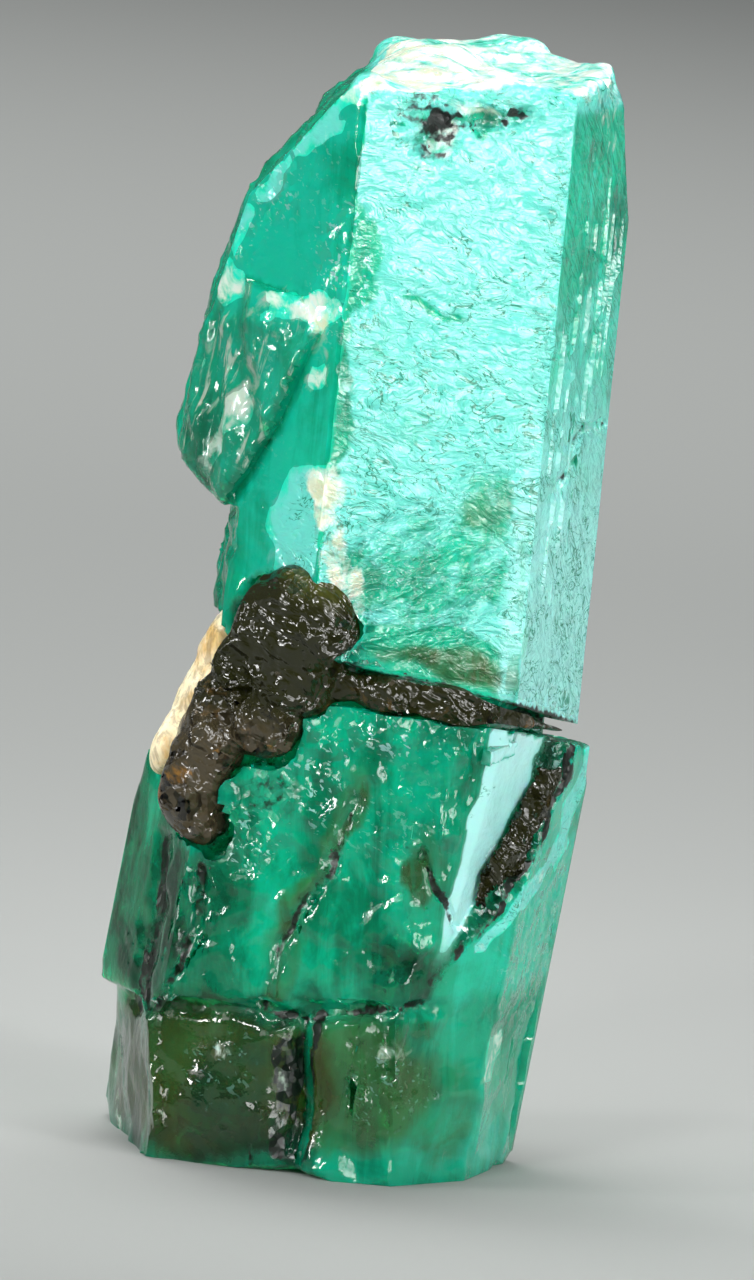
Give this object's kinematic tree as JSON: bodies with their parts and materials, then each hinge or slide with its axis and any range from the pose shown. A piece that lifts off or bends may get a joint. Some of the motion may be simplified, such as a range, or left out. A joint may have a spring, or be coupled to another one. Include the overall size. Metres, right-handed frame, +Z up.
{
  "type": "emerald crystal",
  "caption": "Natural emerald crystal with two stacked six-sided prisms, a dark mica-filled break and mica with cream feldspar on one edge",
  "frame": {"origin": "middle of the flat basal break that the crystal stands on", "axes": "+Z up along the crystal, -Y out of the broad etched face, +X out of the striated face"},
  "size_m": [0.0113, 0.0101, 0.027],
  "materials": {
    "emerald": "glossy, etched and translucent",
    "mica": "glittering, flaky",
    "feldspar": "satin, fibrous"
  },
  "bodies": {
    "root": {"emerald_crystal": "emerald", "mica_matrix": "mica", "mica_film": "mica", "feldspar_streak": "feldspar"}
  },
  "joints": []
}
